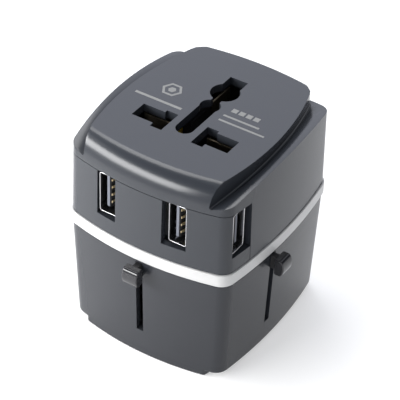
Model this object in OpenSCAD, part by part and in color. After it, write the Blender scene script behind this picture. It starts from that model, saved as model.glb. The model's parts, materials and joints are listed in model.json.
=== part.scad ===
// Universal travel adapter: a multi-country socket on top, four charging ports round the
// front, and three sliders that push US, UK or EU pins out of the underside.
// Origin: centre of the underside. +Z up, front face towards -Y.

/* [Body] */
// Width across the trim band
body_w = 56.4; // [54:0.1:70]
// Depth across the trim band
body_d = 60.1; // [59:0.1:74]
// Height from the underside to the top face
body_h = 66.4; // [64.5:0.1:80]
// Radius of the bowed front and rear walls, seen from above
front_bow = 92; // [80:1:140]
// Radius of the bowed side walls, seen from above
side_bow = 149; // [110:1:220]
// Radius of the vertical corners
corner_r = 4.4; // [3.6:0.1:6]
// Wall thickness of the shells
wall = 2; // [1.6:0.1:2.4]
// Size of the outline at the foot, against the band
foot_taper = 0.947; // [0.94:0.001:0.98]
// Size of the outline at the top, against the band
top_taper = 0.97; // [0.96:0.001:0.98]

/* [Trim band] */
// Height of the band's lower edge above the underside
band_z = 35.2; // [34.5:0.1:38]
// Height of the band
band_h = 3.85; // [3:0.05:4.6]
// How far the band stands proud of the shells
band_proud = 0.4; // [0.2:0.05:0.6]

/* [Top cover] */
// Height of the rounded brow, from the port line to the top face
brow_h = 8.1; // [7:0.1:9]
// Depth of the rounded brow, from the front wall to the flat top
brow_d = 5.2; // [4:0.1:6]
// Half width of the raised strip at its widest
strip_half = 23.3; // [22:0.1:24.5]
// Radius of the strip's bowed edges
strip_bow = 88; // [75:1:130]
// Depth of the side shelves below the top face, at their crown
shelf_drop = 2.1; // [1.6:0.1:2.8]
// Radius of the shelves' arch, seen from the side
shelf_bow = 150; // [140:1:240]
// Thickness of the top face
cover_t = 2.5; // [2:0.1:3]

/* [Foot] */
// How far the foot strip stands below the side walls
foot_drop = 1.8; // [1.2:0.1:2.4]
// Thickness of the floor beside the foot strip
floor_t = 1.4; // [1.2:0.1:2]

/* [Sliders] */
// Travel of each slider
stroke = 20; // [16:0.1:20.2]
// Width of the slots in the walls
slot_w = 2.2; // [1.9:0.1:2.8]
// Width of a knob
knob_w = 4.8; // [4:0.1:6]
// Height of a knob
knob_h = 5.2; // [4.8:0.1:6]
// Thickness of a knob
knob_t = 3; // [2.6:0.1:3.6]
// Gap between a knob and the wall
knob_gap = 1.8; // [1.4:0.1:2.4]
// Place of the side slots, measured forwards from the middle
side_slot = 5.2; // [4.6:0.1:6]
// Height of a carriage bar
bar_h = 5; // [4:0.1:5.4]

/* [Charging ports] */
// Width of a port shell
port_w = 5.7; // [5.5:0.1:6]
// Height of a port shell
port_h = 13.1; // [12.5:0.1:13.3]
// Depth of a port shell
port_depth = 11; // [9.5:0.1:11.4]
// Sheet thickness of a port shell
port_sheet = 0.35; // [0.3:0.05:0.5]
// Distance of the front ports from the middle
port_x = 11.1; // [10.8:0.1:11.3]
// Distance of the side ports in front of the middle
port_y = 20.9; // [20.6:0.1:21.2]
// How far the port mouths sit behind the wall
port_recess = 0.5; // [0.3:0.1:0.8]
// Extra width of a port window on its open side
window_extra = 1.5; // [0.8:0.1:1.8]

/* [Hidden] */
$fn = 48;
eps = 0.01;

// Plug standards: distances between pins, pin sizes and how far pins stand out.
uk_pitch = 22.2;
uk_pin = [6.35, 3.95];
uk_earth_pin = [3.95, 8];
uk_reach = 17.7;
eu_pitch = 19;
eu_pin_d = 4;
eu_reach = 19;
us_pitch = 12.7;
us_blade = [1.5, 6.35];
us_reach = 17.5;
us_turn = 30;

// Heights, from the underside up.
floor_z = foot_drop + floor_t;
band_top = band_z + band_h;
port_z = body_h - brow_h;
ceiling_z = body_h - cover_t;
shelf_ceiling = port_z + 1.2;
shelf_z = body_h - shelf_drop;
shelf_y = 6;
strip_y = -2;
seat_gap = 0.2;

// Outline scale of the shells at a height.
shell_k = 1 - 2 * band_proud / body_w;
function mix(a, b, t) = a + (b - a) * t;
function scale_at(z) =
    z <= band_z ? mix(foot_taper, shell_k, (z - foot_drop) / (band_z - foot_drop)) :
    mix(shell_k, top_taper, (z - band_top) / (body_h - band_top));
port_taper = scale_at(port_z);

// Half width of the outline at a place y, and half depth at a place x.
function bow(r, t) = r - sqrt(r * r - t * t);
function half_w(k, y) = k * body_w / 2 - bow(side_bow * k, y);
function half_d(k, x) = k * body_d / 2 - bow(front_bow * k, x);

// Outline seen from above: four bowed walls joined by round corners.
function arc(c, r, a0, a1, n) = [for (i = [0:n]) let (a = mix(a0, a1, i / n)) c + r * [cos(a), sin(a)]];
function rest(points) = [for (i = [1:len(points) - 1]) points[i]];
function quarter(k, inset) =
    let (a = k * body_w / 2 - inset, b = k * body_d / 2 - inset,
         rf = front_bow * k - inset, rs = side_bow * k - inset, rc = max(corner_r * k - inset, 0.8),
         cf = [0, rf - b], cs = [a - rs, 0], v = cs - cf, d = norm(v),
         r0 = rf - rc, r1 = rs - rc, along = (r0 * r0 - r1 * r1 + d * d) / (2 * d),
         up = sqrt(r0 * r0 - along * along), e = v / d,
         c = cf + along * e + up * [e[1], -e[0]],
         c2 = cf + along * e - up * [e[1], -e[0]],
         cc = (c[0] - c[1] > c2[0] - c2[1]) ? c : c2,
         af = atan2(cc[1] - cf[1], cc[0] - cf[0]), as = atan2(cc[1] - cs[1], cc[0] - cs[0]))
    concat(arc(cf, rf, -90, af, 6), rest(arc(cc, rc, af, as, 5)), rest(arc(cs, rs, as, 0, 5)));
function flip(points, m) =
    [for (i = [len(points) - 1:-1:0]) [points[i][0] * m[0], points[i][1] * m[1]]];
function outline(k, inset) =
    let (q = quarter(k, inset),
         right = concat(q, rest(flip(q, [1, -1]))),
         left = rest(flip(right, [-1, 1])))
    concat(right, [for (i = [0:len(left) - 2]) left[i]]);

module plan(k, inset = 0) { polygon(outline(k, inset)); }
module drafted(z0, z1, inset = 0) {
    translate([0, 0, z0])
        linear_extrude(height = z1 - z0, scale = scale_at(z1) / scale_at(z0)) plan(scale_at(z0), inset);
}
module block(low, high) { translate(low) cube(high - low); }
module rod(x, y, z0, z1, d) { translate([x, y, z0]) cylinder(d = d, h = z1 - z0); }

// The raised strip of the top and the foot: the space between two bowed edges.
module strip(z0, z1, grow = 0) {
    translate([0, strip_y, z0]) linear_extrude(height = z1 - z0) intersection() {
        translate([strip_half - strip_bow, 0]) circle(r = strip_bow + grow, $fn = 160);
        translate([strip_bow - strip_half, 0]) circle(r = strip_bow + grow, $fn = 160);
    }
}

// Screw places.
boss_x = 17.5;
boss_y = 21.5;
boss_d = 5.5;
cover_boss_x = 21;
cover_boss_y = -9;
cover_boss_d = 5;
cover_screw_l = 7.5;
bore_end = 0.5;
attic_ledge = 1.6;
screw_d = 2.2;
screw_play = 0.2;
head_d = 4.2;
head_h = 1.6;
head_sink = 0.4;
head_play = 0.4;
module four_places() {
    for (sx = [-1, 1], sy = [-1, 1]) translate([sx * boss_x, sy * boss_y, 0]) children();
}
module two_places() {
    for (sx = [-1, 1]) translate([sx * cover_boss_x, cover_boss_y, 0]) children();
}

// Chassis, board and socket places.
chassis_z = band_z;
chassis_t = 2.5;
chassis_top = chassis_z + chassis_t;
port_gap = 0.2;
board_top = port_z - port_gap - port_h;
board_t = 1.6;
board_z = board_top - board_t;
post_d = 3.6;
boss_below_board = 1.2;
post_places = [[0, -20.5], [-21, -1], [21, -1], [0, 23.5]];
line_y = -8.3;
earth_y = line_y + uk_pitch;
leaf_t = 0.6;
leaf_y = 2.9;
leaf_x0 = 5;
leaf_x1 = 15.2;
earth_leaf_x = 2.5;
earth_half_l = 4.6;
contact_top = ceiling_z - 0.5;

// Slider places.
run = 0.4;
carriage_z = floor_z + stroke + run;
bar_top = carriage_z + bar_h;
knob_below_band = 1;
knob_z = band_z - knob_below_band - knob_h;
stem_trim = 0.3;
stem_h = knob_h - 2 * stem_trim;
stem_z = knob_z + stem_trim;
stem_top = stem_z + stem_h;
slot_play = 0.2;
slot_end = 0.5;
stem_w = slot_w - 2 * slot_play;
inner_gap = 0.6;
peg_l = 1.2;
us_y = -21.8;
uk_y = -14;
uk_earth_y = uk_y + uk_pitch;
eu_y = 17.3;
knob_k = scale_at(knob_z + knob_h / 2);
front_wall_y = half_d(knob_k, 0);
side_wall_x = half_w(knob_k, side_slot);

// ---------------------------------------------------------------- shells

// Solid that gives the brow its rounded front edge: a body turned about the front bow's centre.
module brow() {
    r = front_bow * port_taper;
    yc = r - body_d / 2 * port_taper;
    n = 10;
    edge = [for (i = [0:n]) [r - brow_d * (1 - cos(90 * i / n)), port_z + brow_h * sin(90 * i / n)]];
    translate([0, yc, 0])
        rotate_extrude($fn = 240)
            polygon(concat([[0, 0], [r + 2, 0], [r + 2, port_z]], edge, [[0, body_h]]));
}

// The shelves beside the strip, cut from the top face down to an arched floor.
module shelf_cut() {
    difference() {
        block([-body_w, -body_d, port_z + 1], [body_w, body_d, body_h + 1]);
        strip(port_z, body_h + 2);
        translate([-body_w, shelf_y, shelf_z - shelf_bow]) rotate([0, 90, 0])
            cylinder(r = shelf_bow, h = 2 * body_w, $fn = 240);
    }
}

// Socket holes: line and neutral clusters and the keyhole-shaped middle.
wide_hole = [7.9, 5.9];
wide_hole_corner = [7.3, -3];
cross_hole = [3.6, 8.4];
cross_hole_corner = [4.7, -4.5];
earth_hole = [5.6, 8.9];
earth_hole_y = 10;
earth_round_y = 11.6;
earth_round_r = 4.2;
neck_w = 2.8;
upper_round_y = 4;
upper_round_r = 2.95;
middle_r = 2.6;
module socket_holes(z0, z1) {
    translate([0, 0, z0]) linear_extrude(height = z1 - z0) {
        for (m = [0, 1]) mirror([m, 0]) {
            translate([0, line_y] + wide_hole_corner) square(wide_hole);
            translate([0, line_y] + cross_hole_corner) square(cross_hole);
        }
        translate([-earth_hole[0] / 2, earth_hole_y]) square(earth_hole);
        translate([0, earth_round_y]) circle(r = earth_round_r);
        translate([-neck_w / 2, upper_round_y]) square([neck_w, earth_round_y - upper_round_y]);
        translate([0, upper_round_y]) circle(r = upper_round_r);
        translate([-middle_r, line_y]) square([2 * middle_r, upper_round_y - line_y]);
        translate([0, line_y]) circle(r = middle_r);
    }
}

module top_cover() color([0.29, 0.29, 0.33]) {
    difference() {
        union() {
            difference() {
                intersection() {
                    drafted(band_top, body_h);
                    brow();
                }
                drafted(band_top - 1, shelf_ceiling, wall);
                intersection() {
                    strip(shelf_ceiling - eps, ceiling_z, -wall);
                    drafted(shelf_ceiling - eps, ceiling_z, wall + attic_ledge);
                }
            }
            two_places() rod(0, 0, chassis_top, shelf_ceiling + eps, cover_boss_d);
        }
        shelf_cut();
        block([-body_w, -body_d, 0], [body_w, -seam_y, port_z]);
        socket_holes(shelf_ceiling, body_h + 1);
        two_places() rod(0, 0, chassis_z - 1, chassis_top + cover_screw_l + bore_end, screw_d);
    }
}

// Where the port panel ends on the sides: just behind the side windows.
seam_y = port_y - port_w / 2 - window_extra;

// Windows of the four ports. Each is open at the top, where the cover closes it, and reaches
// as far in as the port behind it.
window_reach = port_depth + 1;
window_sill = 1;
window_play = 0.1;
left_window_share = 0.4;
module front_window(x, extra) {
    block([x - port_w / 2 - extra, -body_d, board_top - window_sill],
          [x + port_w / 2 + window_play, window_reach - body_d / 2, port_z + 1]);
}
module side_window(side) {
    mirror([side < 0 ? 1 : 0, 0, 0])
        block([body_w / 2 - window_reach, -port_y - port_w / 2 - window_play, board_top - window_sill],
              [body_w, -seam_y - eps, port_z + 1]);
}

module usb_panel() color([0.30, 0.30, 0.34]) {
    difference() {
        intersection() {
            difference() {
                drafted(band_top, port_z);
                drafted(band_top - 1, port_z + 1, wall);
            }
            block([-body_w, -body_d, 0], [body_w, -seam_y, body_h]);
        }
        front_window(-port_x, window_extra * left_window_share);
        front_window(port_x, window_extra);
        for (side = [-1, 1]) side_window(side);
    }
}

module trim_band() color([0.86, 0.86, 0.87]) {
    translate([0, 0, band_z]) linear_extrude(height = band_h) difference() {
        plan(1);
        plan(1, band_proud + wall);
    }
}

// Pin holes in the floor.
hole_play = 0.35;
module pin_holes() {
    play = 2 * [hole_play, hole_play];
    translate([0, 0, -1]) linear_extrude(height = floor_z + 2) {
        for (sx = [-1, 1]) {
            translate([sx * uk_pitch / 2, uk_y]) square(uk_pin + play, center = true);
            translate([sx * us_pitch / 2, us_y])
                for (a = [0:us_turn / 4:us_turn]) rotate(-sx * a) square(us_blade + play, center = true);
        }
        translate([0, uk_earth_y]) square(uk_earth_pin + play, center = true);
    }
    for (sx = [-1, 1]) rod(sx * eu_pitch / 2, eu_y, -1, floor_z + 1, eu_pin_d + 2 * hole_play);
}

slot_z = stem_z - stroke - slot_end;
slot_top = stem_top + stem_trim;
module slots() {
    block([-slot_w / 2, -body_d, slot_z], [slot_w / 2, -body_d / 4, slot_top]);
    block([-body_w, -side_slot - slot_w / 2, slot_z], [-body_w / 4, -side_slot + slot_w / 2, slot_top]);
    block([body_w / 4, -side_slot - slot_w / 2, slot_z], [body_w, -side_slot + slot_w / 2, slot_top]);
}

module lower_housing() color([0.27, 0.27, 0.30]) {
    difference() {
        union() {
            difference() {
                union() {
                    drafted(foot_drop, band_z);
                    intersection() {
                        strip(0, foot_drop + eps);
                        linear_extrude(height = foot_drop + eps) plan(foot_taper);
                    }
                }
                drafted(floor_z, band_z + 1, wall);
            }
            four_places() rod(0, 0, floor_z - eps, band_z, boss_d);
        }
        slots();
        pin_holes();
        four_places() {
            rod(0, 0, -1, band_z + 1, screw_d + 2 * screw_play);
            rod(0, 0, -1, head_sink + head_h, head_d + head_play);
        }
    }
}

// ---------------------------------------------------------------- inside the upper half

module mid_chassis() color([0.55, 0.56, 0.58]) {
    difference() {
        union() {
            translate([0, 0, chassis_z]) linear_extrude(height = chassis_t)
                plan(1, band_proud + wall + seat_gap);
            four_places() rod(0, 0, chassis_top - eps, board_z - boss_below_board, boss_d);
            for (p = post_places) rod(p[0], p[1], chassis_top - eps, board_z, post_d);
        }
        four_places() rod(0, 0, chassis_z - 1, board_z, screw_d);
        two_places() rod(0, 0, chassis_z - 1, chassis_top + 1, screw_d + 2 * screw_play);
    }
}

board_window_play = 1;
board_edge_gap = 0.5;
board_boss_play = 1;
module charger_pcb() color([0.10, 0.36, 0.20]) {
    difference() {
        translate([0, 0, board_z]) linear_extrude(height = board_t)
            difference() {
                plan(port_taper, wall + board_edge_gap);
                for (m = [0, 1]) mirror([m, 0])
                    translate([leaf_x0, line_y - leaf_y - leaf_t] - board_window_play * [1, 1])
                        square([leaf_x1 - leaf_x0, 2 * (leaf_y + leaf_t)] + 2 * board_window_play * [1, 1]);
                earth_half = [earth_leaf_x + leaf_t, earth_half_l] + board_window_play * [1, 1];
                translate([0, earth_y]) square(2 * earth_half, center = true);
            }
        two_places() rod(0, 0, board_z - 1, board_top + 1, cover_boss_d + board_boss_play);
    }
}

// One port, mouth towards -Y, contacts on the tongue's +X side, its shell standing on the board.
tongue_t = 1.9;
tongue_x = -0.55;
tongue_back = 2.6;
mouth_to_tongue = 1.3;
contact_t = 0.25;
contact_pitch = 2.4;
contact_w = 1;
contact_start = mouth_to_tongue + 1;
tongue_margin = 0.8;
module port_shell() {
    difference() {
        block([-port_w / 2, 0, 0], [port_w / 2, port_depth, port_h]);
        block([-port_w / 2 + port_sheet, -1, port_sheet],
              [port_w / 2 - port_sheet, port_depth - port_sheet, port_h - port_sheet]);
    }
}
tongue_root = port_depth - port_sheet - tongue_back;
module port_tongue() {
    inner = port_w / 2 - port_sheet;
    block([-inner, tongue_root, port_sheet], [inner, port_depth - port_sheet, port_h - port_sheet]);
    block([tongue_x - tongue_t / 2, mouth_to_tongue, port_sheet + tongue_margin],
          [tongue_x + tongue_t / 2, tongue_root + eps, port_h - port_sheet - tongue_margin]);
}
module port_contacts() {
    for (i = [-1.5:1:1.5])
        translate([tongue_x + tongue_t / 2, contact_start, port_h / 2 + i * contact_pitch - contact_w / 2])
            cube([contact_t, tongue_root - contact_start, contact_w]);
}

// Moves a port to one of its four places.
port_front_y = half_d(port_taper, port_x) - port_recess;
port_side_x = half_w(port_taper, port_y) - port_recess;
module front_left() { translate([-port_x, -port_front_y, board_top]) children(); }
module front_right() { translate([port_x, -port_front_y, board_top]) children(); }
module side_right() { translate([port_side_x, -port_y, board_top]) rotate(90) mirror([1, 0, 0]) children(); }
module side_left() { mirror([1, 0, 0]) side_right() children(); }

steel = [0.78, 0.79, 0.80];
module usb_shell_front_left() color(steel) front_left() port_shell();
module usb_shell_front_right() color(steel) front_right() port_shell();
module usb_shell_side_right() color(steel) side_right() port_shell();
module usb_shell_side_left() color(steel) side_left() port_shell();
tongue_grey = [0.62, 0.64, 0.66];
module usb_tongue_front_left() color(tongue_grey) front_left() port_tongue();
module usb_tongue_front_right() color(tongue_grey) front_right() port_tongue();
module usb_tongue_side_right() color(tongue_grey) side_right() port_tongue();
module usb_tongue_side_left() color(tongue_grey) side_left() port_tongue();
gold = [0.85, 0.68, 0.32];
module usb_contacts_front_left() color(gold) front_left() port_contacts();
module usb_contacts_front_right() color(gold) front_right() port_contacts();
module usb_contacts_side_right() color(gold) side_right() port_contacts();
module usb_contacts_side_left() color(gold) side_left() port_contacts();

// Transformer: a ferrite frame round a wound middle leg.
core = [14, 12, 13];
core_place = [-20, 4.5];
yoke = 3;
leg = 4.5;
module core_at() { translate([core_place[0], core_place[1], board_top]) children(); }
module transformer_core() color([0.22, 0.22, 0.23]) core_at() difference() {
    cube(core);
    for (x = [yoke, core[0] / 2 + leg / 2])
        block([x, -1, yoke], [x + core[0] / 2 - leg / 2 - yoke, core[1] + 1, core[2] - yoke]);
}
winding_play = 0.3;
winding_over = 1.2;
module transformer_winding() color([0.75, 0.60, 0.20]) core_at() difference() {
    block([yoke + winding_play, -winding_over, yoke + winding_play],
          [core[0] - yoke - winding_play, core[1] + winding_over, core[2] - yoke - winding_play]);
    block([core[0] / 2 - leg / 2, -eps, 0], [core[0] / 2 + leg / 2, core[1] + eps, core[2]]);
}
// Capacitors, each as its place, diameter and height, and chips, each as its corner and size.
capacitor_list = [[11.5, 10, 8, 12], [19.5, 7.5, 6.3, 11], [18.5, 15.5, 6.3, 9]];
chip_list = [[[6, 17], [5, 4, 1.6]], [[-20, -6.5], [3.5, 4, 1.4]], [[17.5, -5.5], [1.6, 4, 1.4]]];
module capacitors() color([0.12, 0.14, 0.30])
    for (c = capacitor_list) rod(c[0], c[1], board_top, board_top + c[3], c[2]);
module driver_chips() color([0.13, 0.13, 0.14])
    for (c = chip_list) translate([c[0][0], c[0][1], board_top]) cube(c[1]);

// Fuse across the rear, lifted clear of the board by two clips.
fuse_d = 5;
fuse_l = 16;
fuse_place = [-5, 23.2];
fuse_z = board_top + 4.2;
clip_w = 3.4;
cap_l = 4;
clip_wall = 0.5;
clip_grip = 0.2;
clip_foot = 0.6;
clip_rise = 0.9;
module fuse() color([0.86, 0.84, 0.78])
    translate([fuse_place[0] - fuse_l / 2, fuse_place[1], fuse_z])
        rotate([0, 90, 0]) cylinder(d = fuse_d, h = fuse_l);
module fuse_clips() color(gold) for (s = [-1, 1])
    translate([fuse_place[0] + s * (fuse_l - cap_l) / 2 - clip_w / 2, fuse_place[1], board_top])
    difference() {
        half = fuse_d / 2;
        block([0, -half - clip_wall, 0], [clip_w, half + clip_wall, fuse_z - board_top + clip_rise]);
        block([-1, -half + clip_grip, -1], [clip_w + 1, half - clip_grip, clip_foot]);
        translate([-1, 0, fuse_z - board_top]) rotate([0, 90, 0]) cylinder(d = fuse_d, h = clip_w + 2);
    }

// Socket contacts: pairs of spring leaves that stand on the chassis.
brass = [0.80, 0.66, 0.36];
module pole_contact() {
    for (s = [-1, 1])
        block([leaf_x0, line_y + min(s * leaf_y, s * (leaf_y + leaf_t)), chassis_top],
              [leaf_x1, line_y + max(s * leaf_y, s * (leaf_y + leaf_t)), contact_top]);
    block([leaf_x0, line_y - leaf_y - eps, chassis_top],
          [leaf_x1, line_y + leaf_y + eps, chassis_top + leaf_t]);
}
module line_socket_contact() color(brass) mirror([1, 0, 0]) pole_contact();
module neutral_socket_contact() color(brass) pole_contact();
module earth_socket_contact() color(brass) {
    for (s = [-1, 1])
        block([min(s * earth_leaf_x, s * (earth_leaf_x + leaf_t)), earth_y - earth_half_l, chassis_top],
              [max(s * earth_leaf_x, s * (earth_leaf_x + leaf_t)), earth_y + earth_half_l, contact_top]);
    block([-earth_leaf_x - eps, earth_y - earth_half_l, chassis_top],
          [earth_leaf_x + eps, earth_y + earth_half_l, chassis_top + leaf_t]);
}

// Bus bars under the chassis, with leaves beside each pin's lowered place.
bus_t = 0.8;
bus_z = chassis_z - bus_t;
leaf_foot = floor_z + 2;
us_bar = [22, 6.4];
uk_bar = [30, 6];
eu_bar = [26, 5.6];
leaf_gap = 0.5;
bus_half = 2;
eu_leaf_trim = 0.5;
module pole_bus() {
    x = uk_pitch / 2;
    block([x - bus_half, us_y - bus_half, bus_z], [x + bus_half, eu_y - eu_bar[1] / 2 - leaf_gap, chassis_z]);
    us_x = us_bar[0] / 2 + leaf_gap;
    block([us_x, us_y - bus_half, leaf_foot], [us_x + leaf_t, us_y + bus_half, bus_z + eps]);
    uk_leaf_y = uk_y + uk_bar[1] / 2 + leaf_gap;
    block([x - bus_half, uk_leaf_y, leaf_foot], [x + bus_half, uk_leaf_y + leaf_t, bus_z + eps]);
    eu_leaf_y = eu_y - eu_bar[1] / 2 - leaf_gap;
    block([x - bus_half, eu_leaf_y - leaf_t, leaf_foot],
          [x + bus_half - eu_leaf_trim, eu_leaf_y, bus_z + eps]);
}
module line_busbar() color(brass) mirror([1, 0, 0]) pole_bus();
module neutral_busbar() color(brass) pole_bus();
spine_w = 5.4;
earth_seat = 0.8;
earth_leaf_play = 0.4;
earth_foot_l = 3;
module earth_leaf() color(brass) {
    x = spine_w / 2 + earth_seat + earth_leaf_play + leaf_gap;
    block([x, uk_earth_y - bus_half, leaf_foot], [x + leaf_t, uk_earth_y + bus_half, chassis_z]);
    block([x - earth_foot_l, uk_earth_y - bus_half, bus_z], [x + eps, uk_earth_y + bus_half, chassis_z]);
}

// ---------------------------------------------------------------- screws

cross_l = 2.6;
cross_w = 0.6;
cross_deep = 0.8;
tip_below_board = 1.6;
module screw(z_head, z_tip) {
    difference() {
        rod(0, 0, z_head, z_head + head_h, head_d);
        translate([0, 0, z_head - 1]) linear_extrude(height = 1 + cross_deep) {
            square([cross_l, cross_w], center = true);
            square([cross_w, cross_l], center = true);
        }
    }
    rod(0, 0, z_head + head_h - eps, z_tip, screw_d);
}
module housing_screws() color(steel) four_places() screw(head_sink, board_z - tip_below_board);
module cover_screws() color(steel) two_places() screw(chassis_z - head_h, chassis_top + cover_screw_l);

// ---------------------------------------------------------------- sliders

// Knob with a D-shaped section, back face at y = 0, middle of its height at z = 0.
knob_crown = 1.1;
knob_soft = 0.7;
module knob_shape() {
    n = 10;
    half = knob_h / 2;
    nose = [for (i = [0:n]) let (a = -90 + 180 * i / n)
            [knob_crown - knob_t - knob_crown * cos(a), half * sin(a)]];
    below = [[0, knob_soft - half], [-knob_soft, -half]];
    above = [[-knob_soft, half], [0, half - knob_soft]];
    difference() {
        translate([-knob_w / 2, 0, 0]) rotate([90, 0, 90])
            linear_extrude(height = knob_w) polygon(concat(below, nose, above));
        block([-stem_w / 2, -peg_l, -stem_h / 2], [stem_w / 2, 1, stem_h / 2]);
    }
}
knob_mid = knob_z + knob_h / 2;
module us_knob() color([0.13, 0.13, 0.15])
    translate([0, -front_wall_y - knob_gap, knob_mid]) knob_shape();
module uk_knob() color([0.13, 0.13, 0.15])
    translate([side_wall_x + knob_gap, -side_slot, knob_mid]) rotate(90) knob_shape();
module eu_knob() color([0.13, 0.13, 0.15])
    translate([-side_wall_x - knob_gap, -side_slot, knob_mid]) rotate(-90) knob_shape();

pin_seat = 4;
blade_pivot_d = 3;
pivot_play = 0.08;
pivot_gap = 0.2;
clip_t = 0.6;
clip_d = 5;
pivot_end = 0.6;
blade_hole_d = 3;
blade_hole_z = 3.2;
root = 1;
black = [0.16, 0.16, 0.17];

// Front slider: a bar with two turning blades and a stem through the front slot.
module us_carriage() color(black) difference() {
    union() {
        translate([-us_bar[0] / 2, us_y - us_bar[1] / 2, carriage_z]) cube([us_bar[0], us_bar[1], bar_h]);
        block([-stem_w / 2, -front_wall_y - knob_gap - peg_l, stem_z], [stem_w / 2, us_y + root, stem_top]);
        block([-stem_w / 2, -half_d(foot_taper, 0) + wall + inner_gap, carriage_z + eps],
              [stem_w / 2, us_y + root, stem_z + eps]);
    }
    for (sx = [-1, 1])
        rod(sx * us_pitch / 2, us_y, carriage_z - 1, bar_top + 1, blade_pivot_d + 2 * pivot_play);
}
us_tip = stroke - us_reach;
module us_blade_at(sx) {
    translate([sx * us_pitch / 2, us_y, 0]) {
        difference() {
            translate([-us_blade[0] / 2, -us_blade[1] / 2, us_tip])
                cube([us_blade[0], us_blade[1], carriage_z - pivot_gap - us_tip]);
            translate([-us_blade[0], 0, us_tip + blade_hole_z])
                rotate([0, 90, 0]) cylinder(d = blade_hole_d, h = 2 * us_blade[0]);
        }
        rod(0, 0, carriage_z - pivot_gap - eps, bar_top + pivot_gap + clip_t + pivot_end, blade_pivot_d);
    }
}
nickel = [0.80, 0.80, 0.79];
module us_blade_left() color(nickel) us_blade_at(-1);
module us_blade_right() color(nickel) us_blade_at(1);
module blade_clips() color(steel) for (sx = [-1, 1]) difference() {
    rod(sx * us_pitch / 2, us_y, bar_top, bar_top + clip_t, clip_d);
    rod(sx * us_pitch / 2, us_y, bar_top - 1, bar_top + clip_t + 1, blade_pivot_d + 2 * pivot_play);
}

// Right slider: a bar for line and neutral, a spine back to earth, and an arm to the right slot.
uk_tip = stroke - uk_reach;
arm_w = 3;
earth_seat_front = 1;
earth_seat_back = 0.6;
module uk_carriage() color(black) difference() {
    outer = half_w(foot_taper, side_slot) - wall - inner_gap;
    earth_half = uk_earth_pin[1] / 2;
    union() {
        translate([-uk_bar[0] / 2, uk_y - uk_bar[1] / 2, carriage_z]) cube([uk_bar[0], uk_bar[1], bar_h]);
        block([-spine_w / 2, uk_y, carriage_z], [spine_w / 2, uk_earth_y, bar_top]);
        block([-spine_w / 2 - earth_seat, uk_earth_y - earth_half - earth_seat_front, carriage_z],
              [spine_w / 2 + earth_seat, uk_earth_y + earth_half + earth_seat_back, bar_top]);
        block([0, -side_slot - arm_w / 2, carriage_z], [outer, -side_slot + arm_w / 2, bar_top]);
        block([outer - arm_w, -side_slot - arm_w / 2, bar_top - eps],
              [outer, -side_slot + arm_w / 2, stem_top]);
        block([outer - root, -side_slot - stem_w / 2, stem_z],
              [side_wall_x + knob_gap + peg_l, -side_slot + stem_w / 2, stem_top]);
    }
    uk_pin_shape(carriage_z - 1);
}
module uk_pole(sx, z0) {
    translate([sx * uk_pitch / 2 - uk_pin[0] / 2, uk_y - uk_pin[1] / 2, z0])
        cube([uk_pin[0], uk_pin[1], carriage_z + pin_seat - z0]);
}
module uk_earth(z0) {
    translate([-uk_earth_pin[0] / 2, uk_earth_y - uk_earth_pin[1] / 2, z0])
        cube([uk_earth_pin[0], uk_earth_pin[1], carriage_z + pin_seat - z0]);
}
module uk_pin_shape(z0) {
    for (sx = [-1, 1]) uk_pole(sx, z0);
    uk_earth(z0);
}
// The upper part of each live pin is waisted for an insulating sleeve.
sleeve_t = 0.5;
sleeve_l = 9;
sleeve_gap = 0.2;
sleeve_z = uk_tip + uk_reach - sleeve_l - sleeve_gap;
module uk_sleeve(sx) {
    translate([sx * uk_pitch / 2, uk_y, sleeve_z]) linear_extrude(height = sleeve_l) difference() {
        square(uk_pin, center = true);
        square(uk_pin - 2 * [sleeve_t, sleeve_t], center = true);
    }
}
module uk_pin_line() color(brass) difference() { uk_pole(-1, uk_tip); uk_sleeve(-1); }
module uk_pin_neutral() color(brass) difference() { uk_pole(1, uk_tip); uk_sleeve(1); }
module uk_pin_earth() color(brass) uk_earth(uk_tip);
module uk_pin_sleeves() color(black) for (sx = [-1, 1]) uk_sleeve(sx);

// Left slider: a bar for two round pins and an arm forward to the left slot.
eu_tip = stroke - eu_reach;
column_x = 19.5;
module eu_carriage() color(black) difference() {
    outer = half_w(foot_taper, eu_y) - wall - inner_gap;
    bar_front = eu_y - eu_bar[1] / 2;
    union() {
        block([-eu_bar[0] / 2, bar_front, carriage_z], [eu_bar[0] / 2, bar_front + eu_bar[1], bar_top]);
        block([-outer, bar_front, carriage_z], [-eu_bar[0] / 2 + eps, bar_front + arm_w, bar_top]);
        block([-outer, -side_slot - arm_w / 2, carriage_z], [-column_x, bar_front + arm_w, bar_top]);
        block([-outer, -side_slot - arm_w / 2, bar_top - eps], [-column_x, -side_slot + arm_w / 2, stem_top]);
        block([-side_wall_x - knob_gap - peg_l, -side_slot - stem_w / 2, stem_z],
              [-outer + root, -side_slot + stem_w / 2, stem_top]);
    }
    for (sx = [-1, 1]) rod(sx * eu_pitch / 2, eu_y, carriage_z - 1, carriage_z + pin_seat, eu_pin_d);
}
eu_sleeve_z = eu_tip + eu_reach - sleeve_l - sleeve_gap;
module eu_sleeve(sx) {
    difference() {
        rod(sx * eu_pitch / 2, eu_y, eu_sleeve_z, eu_sleeve_z + sleeve_l, eu_pin_d);
        rod(sx * eu_pitch / 2, eu_y, eu_sleeve_z - 1, eu_sleeve_z + sleeve_l + 1, eu_pin_d - 2 * sleeve_t);
    }
}
module eu_pin(sx) {
    difference() {
        union() {
            rod(sx * eu_pitch / 2, eu_y, eu_tip + eu_pin_d / 2, carriage_z + pin_seat, eu_pin_d);
            translate([sx * eu_pitch / 2, eu_y, eu_tip + eu_pin_d / 2]) sphere(d = eu_pin_d);
        }
        eu_sleeve(sx);
    }
}
module eu_pin_left() color(nickel) eu_pin(-1);
module eu_pin_right() color(nickel) eu_pin(1);
module eu_pin_sleeves() color(black) for (sx = [-1, 1]) eu_sleeve(sx);

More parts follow.
